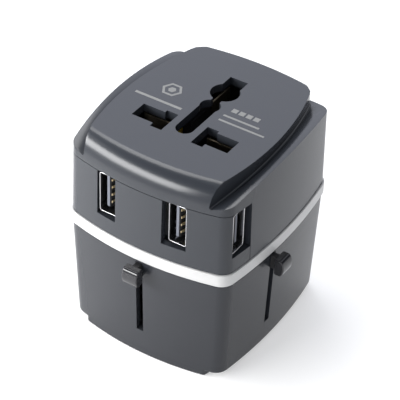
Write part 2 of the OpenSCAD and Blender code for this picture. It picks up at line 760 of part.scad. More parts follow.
top_cover();
usb_panel();
trim_band();
lower_housing();
mid_chassis();
charger_pcb();
usb_shell_front_left();
usb_shell_front_right();
usb_shell_side_right();
usb_shell_side_left();
usb_tongue_front_left();
usb_tongue_front_right();
usb_tongue_side_right();
usb_tongue_side_left();
usb_contacts_front_left();
usb_contacts_front_right();
usb_contacts_side_right();
usb_contacts_side_left();
transformer_core();
transformer_winding();
capacitors();
driver_chips();
fuse();
fuse_clips();
line_socket_contact();
neutral_socket_contact();
earth_socket_contact();
line_busbar();
neutral_busbar();
earth_leaf();
housing_screws();
cover_screws();
us_carriage();
us_knob();
us_blade_left();
us_blade_right();
blade_clips();
uk_carriage();
uk_knob();
uk_pin_line();
uk_pin_neutral();
uk_pin_earth();
uk_pin_sleeves();
eu_carriage();
eu_knob();
eu_pin_left();
eu_pin_right();
eu_pin_sleeves();
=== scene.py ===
"""Universal travel adapter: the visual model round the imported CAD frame, with its camera and light."""
import json
import math

import bmesh
import bpy
from mathutils import Matrix, Vector


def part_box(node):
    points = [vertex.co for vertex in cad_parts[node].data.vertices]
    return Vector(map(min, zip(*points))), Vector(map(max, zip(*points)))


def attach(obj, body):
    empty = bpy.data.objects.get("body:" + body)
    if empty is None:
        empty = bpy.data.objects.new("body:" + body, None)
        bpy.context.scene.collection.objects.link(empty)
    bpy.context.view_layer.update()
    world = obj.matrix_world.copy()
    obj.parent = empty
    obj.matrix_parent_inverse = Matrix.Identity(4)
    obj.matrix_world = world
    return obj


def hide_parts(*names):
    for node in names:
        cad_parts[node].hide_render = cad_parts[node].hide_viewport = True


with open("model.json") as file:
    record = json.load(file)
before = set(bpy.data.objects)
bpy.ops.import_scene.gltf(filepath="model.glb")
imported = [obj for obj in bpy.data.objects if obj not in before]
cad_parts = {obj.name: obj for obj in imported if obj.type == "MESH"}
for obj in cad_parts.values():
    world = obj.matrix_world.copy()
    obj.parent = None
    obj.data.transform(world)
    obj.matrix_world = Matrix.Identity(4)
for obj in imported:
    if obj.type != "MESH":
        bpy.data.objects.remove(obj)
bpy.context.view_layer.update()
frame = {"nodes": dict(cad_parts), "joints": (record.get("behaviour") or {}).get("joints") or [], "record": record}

MM = 0.001
PORTS = ("front_left", "front_right", "side_right", "side_left")


# ---------------------------------------------------------------- sizes, in millimetres

def low(node):
    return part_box(node)[0] / MM


def high(node):
    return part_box(node)[1] / MM


BODY_W = 2 * high("trim_band").x
BODY_D = 2 * high("trim_band").y
BODY_H = high("top_cover").z
BAND_Z = low("trim_band").z
BAND_TOP = high("trim_band").z
PORT_Z = high("usb_panel").z
SEAM_Y = high("usb_panel").y
FRONT_BOW = 92
SIDE_BOW = 149
CORNER_R = 4.4
LEAST_CORNER_R = 0.8
WALL = 2
FOOT_TAPER = 0.947
TOP_TAPER = 0.97
BAND_PROUD = 0.4
SHELL_K = 1 - 2 * BAND_PROUD / BODY_W
FOOT_DROP = 1.8
FLOOR_Z = 3.2
STRIP_HALF = 23.3
STRIP_BOW = 88
STRIP_Y = -2
BROW_D = 5.2
STROKE = frame["joints"][0]["range_m"][1] / MM


def mix(a, b, t):
    return a + (b - a) * t


def scale_at(z):
    """Scale of the shells' outline at a height, against the trim band's."""
    if z <= BAND_Z:
        return mix(FOOT_TAPER, SHELL_K, (z - FOOT_DROP) / (BAND_Z - FOOT_DROP))
    return mix(SHELL_K, TOP_TAPER, (z - BAND_TOP) / (BODY_H - BAND_TOP))


def bow(r, t):
    """How far an arc of radius r has fallen away at a distance t from its middle."""
    return r - math.sqrt(r * r - t * t)


def half_w(k, y):
    """Half the outline's width at a place along its depth."""
    return k * BODY_W / 2 - bow(SIDE_BOW * k, y)


def half_d(k, x):
    """Half the outline's depth at a place along its width."""
    return k * BODY_D / 2 - bow(FRONT_BOW * k, x)


def arc(c, r, a0, a1, n):
    """Points on an arc, angles in radians, both ends included."""
    angles = [mix(a0, a1, i / n) for i in range(n + 1)]
    return [c + r * Vector((math.cos(a), math.sin(a))) for a in angles]


def outline(k, inset=0.0, steps=(14, 7, 12)):
    """Outline seen from above: four bowed walls joined by round corners, anticlockwise."""
    a = k * BODY_W / 2 - inset
    b = k * BODY_D / 2 - inset
    rf = FRONT_BOW * k - inset
    rs = SIDE_BOW * k - inset
    rc = max(CORNER_R * k - inset, LEAST_CORNER_R)
    front = Vector((0, rf - b))
    side = Vector((a - rs, 0))
    reach = (side - front).length
    r0 = rf - rc
    r1 = rs - rc
    along = (r0 * r0 - r1 * r1 + reach * reach) / (2 * reach)
    up = math.sqrt(r0 * r0 - along * along)
    e = (side - front) / reach
    around = [front + along * e + s * up * Vector((e.y, -e.x)) for s in (1, -1)]
    corner = max(around, key=lambda p: p.x - p.y)
    to_front = corner - front
    to_side = corner - side
    af = math.atan2(to_front.y, to_front.x)
    az = math.atan2(to_side.y, to_side.x)
    quarter = arc(front, rf, -math.pi / 2, af, steps[0])[:-1]
    quarter += arc(corner, rc, af, az, steps[1])[:-1]
    quarter += arc(side, rs, az, 0, steps[2])
    right = quarter + [Vector((p.x, -p.y)) for p in reversed(quarter[:-1])]
    return right + [Vector((-p.x, p.y)) for p in reversed(right[1:-1])]


# ---------------------------------------------------------------- mesh building

WELD = 0.002 * MM
FLAT = math.radians(1)


def new_object(name, mesh_maker):
    mesh = bpy.data.meshes.new(name)
    bm = bmesh.new()
    mesh_maker(bm)
    bmesh.ops.recalc_face_normals(bm, faces=bm.faces)
    bm.to_mesh(mesh)
    bm.free()
    mesh.transform(Matrix.Scale(MM, 4))
    obj = bpy.data.objects.new(name, mesh)
    bpy.context.scene.collection.objects.link(obj)
    return obj


def loft(name, rings):
    """A closed solid through rings of as many points each, given in millimetres."""
    def make(bm):
        loops = [[bm.verts.new(p) for p in ring] for ring in rings]
        count = len(rings[0])
        for one, two in zip(loops, loops[1:]):
            for i in range(count):
                j = (i + 1) % count
                bm.faces.new((one[i], one[j], two[j], two[i]))
        bm.faces.new(list(reversed(loops[0])))
        bm.faces.new(loops[-1])
    return new_object(name, make)


def prism(name, points, z0, z1):
    return loft(name, [[(p[0], p[1], z) for p in points] for z in (z0, z1)])


def rectangle(x0, y0, x1, y1):
    return [(x0, y0), (x1, y0), (x1, y1), (x0, y1)]


def block(name, a, b):
    return prism(name, rectangle(a[0], a[1], b[0], b[1]), a[2], b[2])


def drafted(name, z0, z1, inset=0.0):
    """The shells' outline drawn from one height to another, following its draft."""
    return loft(name, [[(p.x, p.y, z) for p in outline(scale_at(z), inset)] for z in (z0, z1)])


def apply_modifiers(obj):
    graph = bpy.context.evaluated_depsgraph_get()
    mesh = bpy.data.meshes.new_from_object(obj.evaluated_get(graph))
    old = obj.data
    obj.modifiers.clear()
    obj.data = mesh
    mesh.name = obj.name
    bpy.data.meshes.remove(old)


def combine(obj, other, operation="DIFFERENCE"):
    """Joins, cuts or intersects obj with other, which is then removed."""
    modifier = obj.modifiers.new("combine", "BOOLEAN")
    modifier.operation = operation
    modifier.solver = "EXACT"
    modifier.object = other
    apply_modifiers(obj)
    bpy.data.objects.remove(other)
    return obj


def soften(obj, width, segments=3, angle=30):
    """Rounds every edge sharper than the angle."""
    modifier = obj.modifiers.new("soften", "BEVEL")
    modifier.width = width * MM
    modifier.segments = segments
    modifier.limit_method = "ANGLE"
    modifier.angle_limit = math.radians(angle)
    modifier.harden_normals = False
    apply_modifiers(obj)
    return obj


def smooth(obj, angle=35):
    for face in obj.data.polygons:
        face.use_smooth = True
    obj.data.set_sharp_from_angle(angle=math.radians(angle))
    modifier = obj.modifiers.new("even_normals", "WEIGHTED_NORMAL")
    modifier.keep_sharp = True
    modifier.weight = 60
    return obj


def settle(obj, body, node, material):
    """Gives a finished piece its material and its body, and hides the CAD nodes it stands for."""
    obj.data.materials.clear()
    obj.data.materials.append(material)
    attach(obj, body)
    for one in ([node] if isinstance(node, str) else node):
        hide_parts(one)
    return obj


def rounded_copy(node, width, segments=2):
    """A copy of a CAD node with its flat faces cleaned and its edges rounded."""
    source = frame["nodes"][node]
    obj = bpy.data.objects.new(node + "_piece", source.data.copy())
    bpy.context.scene.collection.objects.link(obj)
    bm = bmesh.new()
    bm.from_mesh(obj.data)
    bmesh.ops.remove_doubles(bm, verts=bm.verts, dist=WELD)
    bmesh.ops.dissolve_limit(bm, angle_limit=FLAT, verts=bm.verts, edges=bm.edges)
    bm.to_mesh(obj.data)
    bm.free()
    soften(obj, width, segments)
    return smooth(obj)


# ---------------------------------------------------------------- materials

CLOUD_SCALE = 120
ROUGHNESS_SPREAD = 0.08
GRAIN_SCALE = 2000
GRAIN_DEPTH = 0.02 * MM


def material(name, color, roughness, metallic=0.0, grain=0.0, mottle=0.03, specular=0.5):
    """A moulded or machined surface: slight mottling of colour and roughness, and a fine grain as bump."""
    m = bpy.data.materials.new(name)
    m.use_nodes = True
    tree = m.node_tree
    shader = tree.nodes["Principled BSDF"]
    shader.inputs["Metallic"].default_value = metallic
    shader.inputs["Specular IOR Level"].default_value = specular
    place = tree.nodes.new("ShaderNodeTexCoord")
    cloud = tree.nodes.new("ShaderNodeTexNoise")
    cloud.inputs["Scale"].default_value = CLOUD_SCALE
    cloud.inputs["Detail"].default_value = 3
    tree.links.new(place.outputs["Object"], cloud.inputs["Vector"])
    tint = tree.nodes.new("ShaderNodeMix")
    tint.data_type = "RGBA"
    tint.inputs["A"].default_value = (*[c * (1 - mottle) for c in color], 1)
    tint.inputs["B"].default_value = (*[min(1, c * (1 + mottle)) for c in color], 1)
    tree.links.new(cloud.outputs["Fac"], tint.inputs["Factor"])
    tree.links.new(tint.outputs["Result"], shader.inputs["Base Color"])
    spread = tree.nodes.new("ShaderNodeMapRange")
    spread.inputs["To Min"].default_value = roughness * (1 - ROUGHNESS_SPREAD)
    spread.inputs["To Max"].default_value = roughness * (1 + ROUGHNESS_SPREAD)
    tree.links.new(cloud.outputs["Fac"], spread.inputs["Value"])
    tree.links.new(spread.outputs["Result"], shader.inputs["Roughness"])
    if grain:
        fine = tree.nodes.new("ShaderNodeTexNoise")
        fine.inputs["Scale"].default_value = GRAIN_SCALE
        fine.inputs["Detail"].default_value = 2
        tree.links.new(place.outputs["Object"], fine.inputs["Vector"])
        bump = tree.nodes.new("ShaderNodeBump")
        bump.inputs["Strength"].default_value = grain
        bump.inputs["Distance"].default_value = GRAIN_DEPTH
        tree.links.new(fine.outputs["Fac"], bump.inputs["Height"])
        tree.links.new(bump.outputs["Normal"], shader.inputs["Normal"])
    return m


SHELL = material("shell_satin", (0.026, 0.029, 0.035), 0.22, grain=0.12, specular=0.36)
HOUSING = material("housing_satin", (0.025, 0.027, 0.032), 0.26, grain=0.15, specular=0.3)
SILVER = material("band_satin", (0.50, 0.50, 0.495), 0.3, grain=0.1, mottle=0.02)
GLOSS = material("knob_gloss", (0.016, 0.016, 0.019), 0.14, mottle=0.05)
# Painted shade, in part: the inner plastic is near-black as its own colour, and is also darkened to stand for
# shade inside the housing and the slider slots.
INNER_AND_SHADE = material("inner_matt_and_painted_shade", (0.012, 0.012, 0.013), 0.55, grain=0.3)
CHASSIS = material("chassis_matt", (0.05, 0.052, 0.056), 0.5, grain=0.3)
# Painted shade, in part: the board's dark green mask is darkened to near-black to stand for shade inside the
# housing.
BOARD_AND_SHADE = material("board_mask_and_painted_shade", (0.006, 0.011, 0.010), 0.4, mottle=0.1)
STEEL = material("port_steel", (0.42, 0.42, 0.43), 0.24, metallic=1.0, mottle=0.03)
TONGUE = material("tongue_grey", (0.13, 0.14, 0.17), 0.4, mottle=0.03)
GOLD = material("contact_gold", (0.95, 0.78, 0.48), 0.3, metallic=0.9)
FERRITE = material("ferrite", (0.03, 0.03, 0.033), 0.6, grain=0.6, mottle=0.15)
TAPE = material("winding_tape", (0.72, 0.52, 0.06), 0.3, mottle=0.06)
SLEEVE = material("capacitor_sleeve", (0.02, 0.03, 0.12), 0.3)
CHIP = material("chip_epoxy", (0.02, 0.02, 0.021), 0.5, grain=0.4)
CERAMIC = material("fuse_ceramic", (0.82, 0.80, 0.73), 0.35)
# Painted shade: the socket contacts' brass is darkened far below the pins' own brass, to stand for the shade
# inside the socket holes.
BRASS_DARKENED_AS_SHADE = material("brass", (0.13, 0.11, 0.08), 0.45, metallic=1.0, mottle=0.06)
PIN_BRASS = material("pin_brass", (0.72, 0.56, 0.29), 0.28, metallic=1.0, mottle=0.05)
NICKEL = material("nickel", (0.76, 0.75, 0.72), 0.2, metallic=1.0)
PRINT = material("printed_marks", (0.19, 0.19, 0.18), 0.4, mottle=0.2)
SCREW = material("screw_steel", (0.60, 0.60, 0.61), 0.3, metallic=1.0)

FINISH = {
    "shell_plastic": SHELL, "housing_plastic": HOUSING, "band_silver": SILVER, "knob_plastic": GLOSS,
    "inner_plastic": INNER_AND_SHADE, "chassis_plastic": CHASSIS, "board": BOARD_AND_SHADE, "port_steel": STEEL,
    "tongue_plastic": TONGUE, "contact_gold": GOLD, "ferrite": FERRITE, "winding_tape": TAPE,
    "capacitor_sleeve": SLEEVE, "chip_black": CHIP, "fuse_ceramic": CERAMIC, "brass": BRASS_DARKENED_AS_SHADE,
    "nickel": NICKEL, "screw_steel": SCREW,
}
NODE_SLOT = {part["node"]: part["material_slot"] for part in frame["record"]["subparts"]}


# ---------------------------------------------------------------- every CAD node's finish

for name, node in frame["nodes"].items():
    node.data.materials.clear()
    node.data.materials.append(FINISH[NODE_SLOT[name]])


# ---------------------------------------------------------------- shared shapes

SLOT_W = 2.2
SLOT_TOP = high("us_knob").z
SLOT_BOTTOM = low("us_knob").z - STROKE
SLOT_Y = (low("uk_knob").y + high("uk_knob").y) / 2
POCKET = 6
SCREW_HEAD = 4.2
SCREW_X = high("housing_screws").x - SCREW_HEAD / 2
SCREW_Y = high("housing_screws").y - SCREW_HEAD / 2
SCREW_HOLE = 2.6
BOSS = 5.5
BOSS_ROOT = 0.1
PIN_PLAY = 0.35
BLADE = (1.5, 6.35)
BLADE_TURN = math.radians(30)
PARTING = 0.1


def mid(node):
    return (low(node) + high(node)) / 2


def strip_outline():
    """The long strip between two bowed edges, seen from above."""
    reach = BODY_D / 2 + 4
    steps = 28
    ys = [mix(-reach, reach, i / steps) for i in range(steps + 1)]
    right = [(strip_edge(y), y) for y in ys]
    return right + [(-x, y) for x, y in reversed(right)]


def strip_edge(y):
    return STRIP_HALF - bow(STRIP_BOW, y - STRIP_Y)


def rounded_strip_edge(y):
    """The strip's edge on the top face, where its two rear corners are rounded."""
    into = min(max(y - REAR_CORNER_Y, 0), REAR_CORNER_R)
    return strip_edge(y) - REAR_CORNER_R + math.sqrt(REAR_CORNER_R ** 2 - into ** 2)


def circle(x, y, r, count=40):
    angles = [2 * math.pi * i / count for i in range(count)]
    return [(x + r * math.cos(a), y + r * math.sin(a)) for a in angles]


def square_hole(node, play, z0, z1):
    """A straight hole round a pin's own outline."""
    a = low(node)
    b = high(node)
    return block("hole", (a.x - play, a.y - play, z0), (b.x + play, b.y + play, z1))


def blade_window(node, sign, z0, z1):
    """The opening that lets a US blade turn to the AU angle: its rectangle, swept about its middle."""
    spot = mid(node)
    half = (BLADE[0] / 2 + PIN_PLAY, BLADE[1] / 2 + PIN_PLAY)
    points = []
    count = 96
    steps = 12
    tiny = 1e-6
    for i in range(count):
        angle = 2 * math.pi * i / count
        reach = 0
        for step in range(steps + 1):
            local = angle + sign * BLADE_TURN * step / steps
            across = half[0] / max(abs(math.cos(local)), tiny)
            ahead = half[1] / max(abs(math.sin(local)), tiny)
            reach = max(reach, min(across, ahead))
        points.append((spot.x + reach * math.cos(angle), spot.y + reach * math.sin(angle)))
    return prism("blade_window", points, z0, z1)


def four_corners():
    return [(sx * SCREW_X, sy * SCREW_Y) for sx in (-1, 1) for sy in (-1, 1)]


# ---------------------------------------------------------------- lower housing and band

SHELL_EDGE = 0.7
FOOT_EDGE = 0.6
CUT_EDGE = 0.16
BAND_EDGE = 0.3
HEAD_PLAY = 0.2
PIN_CUT_TOP = FLOOR_Z + 2


def make_lower_housing():
    shell = drafted("lower_shell", FOOT_DROP, BAND_Z - PARTING)
    soften(shell, SHELL_EDGE, 4, 60)
    foot = prism("foot", strip_outline(), 0, FOOT_DROP + 3)
    combine(foot, prism("foot_limit", outline(FOOT_TAPER), -1, FOOT_DROP + 4), "INTERSECT")
    soften(foot, FOOT_EDGE, 4, 60)
    combine(shell, foot, "UNION")
    front = half_d(FOOT_TAPER, 0) - POCKET
    side = half_w(FOOT_TAPER, SLOT_Y) - POCKET
    combine(shell, block("slot", (-SLOT_W / 2, -BODY_D, SLOT_BOTTOM), (SLOT_W / 2, -front, SLOT_TOP)))
    for sign in (-1, 1):
        near, far = sorted((sign * side, sign * BODY_W))
        corner = (far, SLOT_Y + SLOT_W / 2, SLOT_TOP)
        combine(shell, block("slot", (near, SLOT_Y - SLOT_W / 2, SLOT_BOTTOM), corner))
    for node in ("uk_pin_line", "uk_pin_neutral", "uk_pin_earth"):
        combine(shell, square_hole(node, PIN_PLAY, -1, PIN_CUT_TOP))
    for node in ("eu_pin_left", "eu_pin_right"):
        spot = mid(node)
        radius = high(node).x - spot.x + PIN_PLAY
        combine(shell, prism("hole", circle(spot.x, spot.y, radius), -1, PIN_CUT_TOP))
    for sign, node in ((-1, "us_blade_left"), (1, "us_blade_right")):
        combine(shell, blade_window(node, sign, -1, PIN_CUT_TOP))
    for x, y in four_corners():
        head = circle(x, y, SCREW_HEAD / 2 + HEAD_PLAY)
        combine(shell, prism("head", head, -1, FOOT_DROP + HEAD_PLAY))
    soften(shell, CUT_EDGE, 2, 40)
    combine(shell, drafted("hollow", FLOOR_Z, BAND_Z + 1, WALL))
    for x, y in four_corners():
        boss = circle(x, y, BOSS / 2)
        combine(shell, prism("boss", boss, FLOOR_Z - BOSS_ROOT, BAND_Z - PARTING), "UNION")
        combine(shell, prism("bore", circle(x, y, SCREW_HOLE / 2), -1, BAND_Z + 1))
    smooth(shell)
    settle(shell, "housing", "lower_housing", HOUSING)


def make_trim_band():
    band = prism("band_ring", outline(1), BAND_Z, BAND_TOP)
    soften(band, BAND_EDGE, 3, 60)
    combine(band, prism("hollow", outline(1, BAND_PROUD + WALL), BAND_Z - 1, BAND_TOP + 1))
    smooth(band)
    settle(band, "housing", "trim_band", SILVER)


# ---------------------------------------------------------------- port panel

WINDOW_EXTRA = {"front_left": (0.6, 0.1), "front_right": (1.5, 0.1)}
WINDOW_SILL = 1
SIDE_WINDOW_PLAY = 0.1
PANEL_EDGE = 0.2


def make_usb_panel():
    panel = drafted("panel_shell", BAND_TOP + PARTING, PORT_Z - PARTING)
    combine(panel, drafted("hollow", BAND_TOP - 1, PORT_Z + 1, WALL))
    combine(panel, block("rear", (-BODY_W, SEAM_Y - PARTING, 0), (BODY_W, BODY_D, BODY_H)))
    for place, (left, right) in WINDOW_EXTRA.items():
        a = low("usb_shell_" + place)
        b = high("usb_shell_" + place)
        inside = (b.x + right, a.y + POCKET, BODY_H)
        combine(panel, block("window", (a.x - left, -BODY_D, a.z - WINDOW_SILL), inside))
    for sign, place in ((1, "side_right"), (-1, "side_left")):
        a = low("usb_shell_" + place)
        near, far = sorted((sign * (BODY_W / 2 - POCKET), sign * BODY_W))
        start = (near, a.y - SIDE_WINDOW_PLAY, a.z - WINDOW_SILL)
        combine(panel, block("window", start, (far, BODY_D, BODY_H)))
    soften(panel, PANEL_EDGE, 2, 40)
    smooth(panel)
    settle(panel, "housing", "usb_panel", SHELL)


# ---------------------------------------------------------------- top cover

SHELF_Z = BODY_H - 2.1
SHELF_BOW = 150
SHELF_Y = 6
SHELF_SINK = 0.8
REAR_CORNER_R = 2.6
REAR_CORNER_Y = half_d(TOP_TAPER, strip_edge(BODY_D / 2)) - REAR_CORNER_R
SHELF_LEAST = 1.5
SHELF_CURVE = 2.2
LEDGE = 0.35
LEDGE_FALL = 0.8
WALL_LEAN = 0.12
GUTTER_GAP = 0.2
COVER_EDGE = 0.22
LINE_Y = -8.3
# Each hole's reach from the middle, and from the line through the live holes.
WIDE_HOLE = ((7.3, 15.2), (-3, 2.9))
CROSS_HOLE = ((4.7, 8.3), (-4.5, 3.9))
EARTH_HALF = 2.8
EARTH_Y = (10, 18.9)
EARTH_ROUND_Y = 11.6
NECK_TOP = 11
EARTH_ROUND_R = 4.2
NECK_HALF = 1.4
KEY_Y = 4
KEY_R = 2.95
GROOVE_R = 2.6
CEILING_Z = BODY_H - 2.5
ATTIC_INSET = WALL + 3.6
SHELF_CEILING = PORT_Z + 1.2
COVER_BOSS = (21, -9)
COVER_BOSS_R = 2.5
COVER_BOSS_DROP = 1.3
COVER_BORE_R = 1.1
COVER_BORE_DEPTH = 7
BROW_SPREAD = math.radians(24)
BROW_TURNS = 48


def make_brow_cutter():
    """Everything above the rounded front edge, turned about the front bow's centre."""
    r = FRONT_BOW * scale_at(PORT_Z)
    centre_y = r - BODY_D / 2 * scale_at(PORT_Z)
    rise = BODY_H - PORT_Z
    steps = 20
    turn = [math.pi / 2 * i / steps for i in range(steps + 1)]
    profile = [(r - BROW_D * (1 - math.cos(a)), PORT_Z + rise * math.sin(a)) for a in turn]
    above = BODY_H + 3
    ahead = r + 6
    profile += [(r - BROW_D, above), (ahead, above), (ahead, PORT_Z)]
    rings = []
    for j in range(BROW_TURNS + 1):
        t = mix(-BROW_SPREAD, BROW_SPREAD, j / BROW_TURNS)
        rings.append([(rho * math.sin(t), centre_y - rho * math.cos(t), z) for rho, z in profile])
    return loft("brow", rings)


def make_shelf_cutter(side):
    """The space above one side shelf: a wall along the strip, a small ledge and a hollowed floor."""
    rings = []
    steps = 56
    across = 10
    above = BODY_H + 3
    length = BODY_D / 2 + 6
    for j in range(steps + 1):
        y = mix(-length, length, j / steps)
        edge = rounded_strip_edge(y)
        rim = SHELF_Z - bow(SHELF_BOW, y - SHELF_Y)
        outer = max(half_w(TOP_TAPER, y), edge + SHELF_LEAST)
        foot = rim - SHELF_SINK
        wall = edge + WALL_LEAN
        ring = [(edge, above), (wall, foot + LEDGE), (wall + LEDGE, foot + LEDGE * LEDGE_FALL)]
        start = edge + GUTTER_GAP + LEDGE
        for i in range(across + 1):
            t = i / across
            ring.append((mix(start, outer, t), rim - SHELF_SINK * (1 - t) ** SHELF_CURVE))
        past = outer + 12
        ring += [(past, rim), (past, above)]
        rings.append([(side * x, y, z) for x, z in ring])
    return loft("shelf", rings)


def socket_shapes():
    """Holes of the socket, each as an outline seen from above."""
    shapes = []
    for s in (-1, 1):
        for (x0, x1), (y0, y1) in (WIDE_HOLE, CROSS_HOLE):
            shapes.append(rectangle(s * x0, LINE_Y + y0, s * x1, LINE_Y + y1))
    shapes.append(rectangle(-EARTH_HALF, EARTH_Y[0], EARTH_HALF, EARTH_Y[1]))
    shapes.append(circle(0, EARTH_ROUND_Y, EARTH_ROUND_R, 48))
    shapes.append(rectangle(-NECK_HALF, KEY_Y, NECK_HALF, NECK_TOP))
    shapes.append(circle(0, KEY_Y, KEY_R, 48))
    shapes.append(rectangle(-GROOVE_R, LINE_Y, GROOVE_R, KEY_Y))
    shapes.append(circle(0, LINE_Y, GROOVE_R, 48))
    return shapes


def make_top_cover():
    cover = drafted("cover_shell", BAND_TOP + PARTING, BODY_H)
    combine(cover, block("front_gap", (-BODY_W, -BODY_D, 0), (BODY_W, SEAM_Y + PARTING, PORT_Z + PARTING)))
    combine(cover, make_brow_cutter())
    for side in (-1, 1):
        combine(cover, make_shelf_cutter(side))
    holes = None
    for shape in socket_shapes():
        hole = prism("hole", shape, BODY_H - POCKET, BODY_H + 2)
        holes = hole if holes is None else combine(holes, hole, "UNION")
    combine(cover, holes)
    soften(cover, COVER_EDGE, 3, 32)
    combine(cover, drafted("hollow", BAND_TOP - 1, SHELF_CEILING, WALL))
    attic = prism("attic", strip_outline(), SHELF_CEILING - BOSS_ROOT, CEILING_Z)
    attic_limit = drafted("attic_limit", SHELF_CEILING - 1, CEILING_Z + 1, ATTIC_INSET)
    combine(attic, attic_limit, "INTERSECT")
    combine(cover, attic)
    for sx in (-1, 1):
        x = sx * COVER_BOSS[0]
        top = SHELF_CEILING + BOSS_ROOT
        boss = circle(x, COVER_BOSS[1], COVER_BOSS_R)
        bore = circle(x, COVER_BOSS[1], COVER_BORE_R)
        combine(cover, prism("boss", boss, BAND_TOP - COVER_BOSS_DROP, top), "UNION")
        combine(cover, prism("bore", bore, BAND_TOP - 2, BAND_TOP + COVER_BORE_DEPTH))
    smooth(cover)
    settle(cover, "housing", "top_cover", SHELL)


PRINT_T = 0.02
EMBLEM_SPOT = (-12.6, 4.4)
EMBLEM_RADII = (3.1, 2.3, 1.2)
MARK_BARS = [(-20.5, -5.5, -1.8, 0.9), (5.2, 16.4, 2.6, 0.7), (5.2, 19.4, 0.2, 0.7)]
SQUARE = 1.7
SQUARE_PITCH = 2.3
SQUARE_X = 6.0
SQUARE_Y = 5.8


def make_marks():
    """Plain printed marks on the top face: a hexagon with a bar, and four squares with two lines."""
    x, y = EMBLEM_SPOT
    outer, inner, core = EMBLEM_RADII
    emblem = prism("mark_hexagon", circle(x, y, outer, 6), BODY_H - PRINT_T, BODY_H + PRINT_T)
    combine(emblem, prism("inner", circle(x, y, inner, 6), BODY_H - 1, BODY_H + 1))
    combine(emblem, prism("core", circle(x, y, core, 6), BODY_H - PRINT_T, BODY_H + PRINT_T), "UNION")
    marks = [emblem]
    squares = [SQUARE_X + SQUARE_PITCH * i for i in range(4)]
    bars = MARK_BARS + [(left, left + SQUARE, SQUARE_Y, SQUARE) for left in squares]
    for i, (x0, x1, y, tall) in enumerate(bars):
        corner = (x0, y - tall / 2, BODY_H - PRINT_T)
        marks.append(block("mark_bar_%d" % i, corner, (x1, y + tall / 2, BODY_H + PRINT_T)))
    for mark in marks:
        mark.data.materials.append(PRINT)
        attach(mark, "housing")


# ---------------------------------------------------------------- charging ports

PORT_W = 5.7
PORT_H = 13.1
PORT_DEPTH = high("usb_shell_front_left").y - low("usb_shell_front_left").y
PORT_R = 0.8
SHEET = 0.35
FINGER_Y = 2.3
FINGER_LENGTH = 4.7
FINGER_HALF = 0.85
FINGER_BEND = 0.42
FINGER_X = 0.02
FINGER_PITCH = 6.2
FINGER_SLOT = 0.3
FINGER_GAP = 0.45
SHEET_PAST = 0.2
FIT = 0.02
NOSE = 0.35
NOSE_STEP = 0.08
TONGUE_EDGE = 0.08
TONGUE_MARGIN = 0.8
CHANNEL_START = 0.8
CHANNEL_DEPTH = 0.12
CHANNEL_HALF = 0.65
CONTACT_PITCH = 2.4
CONTACT_START = 0.5
CONTACT_TIP = 0.36
CONTACT_HALF = 0.5
CONTACT_LIFT = 0.5
CONTACT_SINK = 0.1
CONTACT_T = 0.16
CONTACT_EDGE = 0.06
TONGUE_X = -0.75
TONGUE_T = 1.5
TONGUE_START = 1.3
TONGUE_BASE = 2.6


def port_matrix(place):
    """Puts a port, mouth at y = 0 facing -Y and foot at z = 0, in one of its four places."""
    a = low("usb_shell_" + place)
    b = high("usb_shell_" + place)
    if place.startswith("front"):
        return Matrix(((1, 0, 0, (a.x + b.x) / 2), (0, 1, 0, a.y), (0, 0, 1, a.z), (0, 0, 0, 1)))
    mouth = b.x if place == "side_right" else a.x
    inwards = -1 if place == "side_right" else 1
    return Matrix(((0, inwards, 0, mouth), (-1, 0, 0, (a.y + b.y) / 2), (0, 0, 1, a.z), (0, 0, 0, 1)))


def moved(obj, matrix):
    """Moves a mesh built in local millimetres to its place, and keeps its faces outwards."""
    shift = Matrix.Scale(MM, 4) @ matrix @ Matrix.Scale(1 / MM, 4)
    obj.data.transform(shift)
    bm = bmesh.new()
    bm.from_mesh(obj.data)
    bmesh.ops.recalc_face_normals(bm, faces=bm.faces)
    bm.to_mesh(obj.data)
    bm.free()
    return obj


def rounded_ring(w, h, r, y, z_mid=PORT_H / 2, steps=5):
    """A rounded rectangle in the plane at depth y."""
    points = []
    for quarter, (sx, sz) in enumerate(((1, 1), (-1, 1), (-1, -1), (1, -1))):
        x0 = sx * (w / 2 - r)
        z0 = z_mid + sz * (h / 2 - r)
        for i in range(steps + 1):
            a = math.pi / 2 * (quarter + i / steps)
            points.append((x0 + r * math.cos(a), y, z0 + r * math.sin(a)))
    return points


def make_port_shell(place):
    """A bent sheet-steel mouth with a rolled rim, and two spring fingers on each broad side."""
    inner_w = PORT_W - 2 * SHEET
    inner_h = PORT_H - 2 * SHEET
    rim = SHEET / 2
    rings = [rounded_ring(PORT_W, PORT_H, PORT_R, y) for y in (PORT_DEPTH, rim)]
    for i in range(1, 4):
        a = math.pi / 2 * i / 4
        back = rim * (1 - math.sin(a))
        grow = rim * (1 - math.cos(a))
        rings.append(rounded_ring(PORT_W - 2 * grow, PORT_H - 2 * grow, PORT_R - grow, back))
    for i in range(0, 4):
        a = math.pi / 2 * i / 4
        back = rim * (1 - math.cos(a))
        grow = rim * (1 + math.sin(a))
        rings.append(rounded_ring(PORT_W - 2 * grow, PORT_H - 2 * grow, PORT_R - grow, back))
    for y in (rim, PORT_DEPTH - SHEET):
        rings.append(rounded_ring(inner_w, inner_h, PORT_R - SHEET, y))
    shell = loft("usb_mouth_" + place, rings)
    gap_half = FINGER_HALF + FINGER_GAP
    for side in (-1, 1):
        for z in (PORT_H / 2 - FINGER_PITCH / 2, PORT_H / 2 + FINGER_PITCH / 2):
            x0, x1 = sorted((side * (inner_w / 2 - SHEET_PAST), side * (PORT_W / 2 + SHEET_PAST)))
            gap_start = (x0, FINGER_Y + FINGER_SLOT, z - gap_half)
            gap_end = (x1, FINGER_Y + FINGER_LENGTH + 2 * FINGER_SLOT, z + gap_half)
            combine(shell, block("gap", gap_start, gap_end))
            combine(shell, make_finger(side, z, inner_w / 2), "UNION")
    moved(shell, port_matrix(place))
    smooth(shell)
    settle(shell, "housing", "usb_shell_" + place, STEEL)


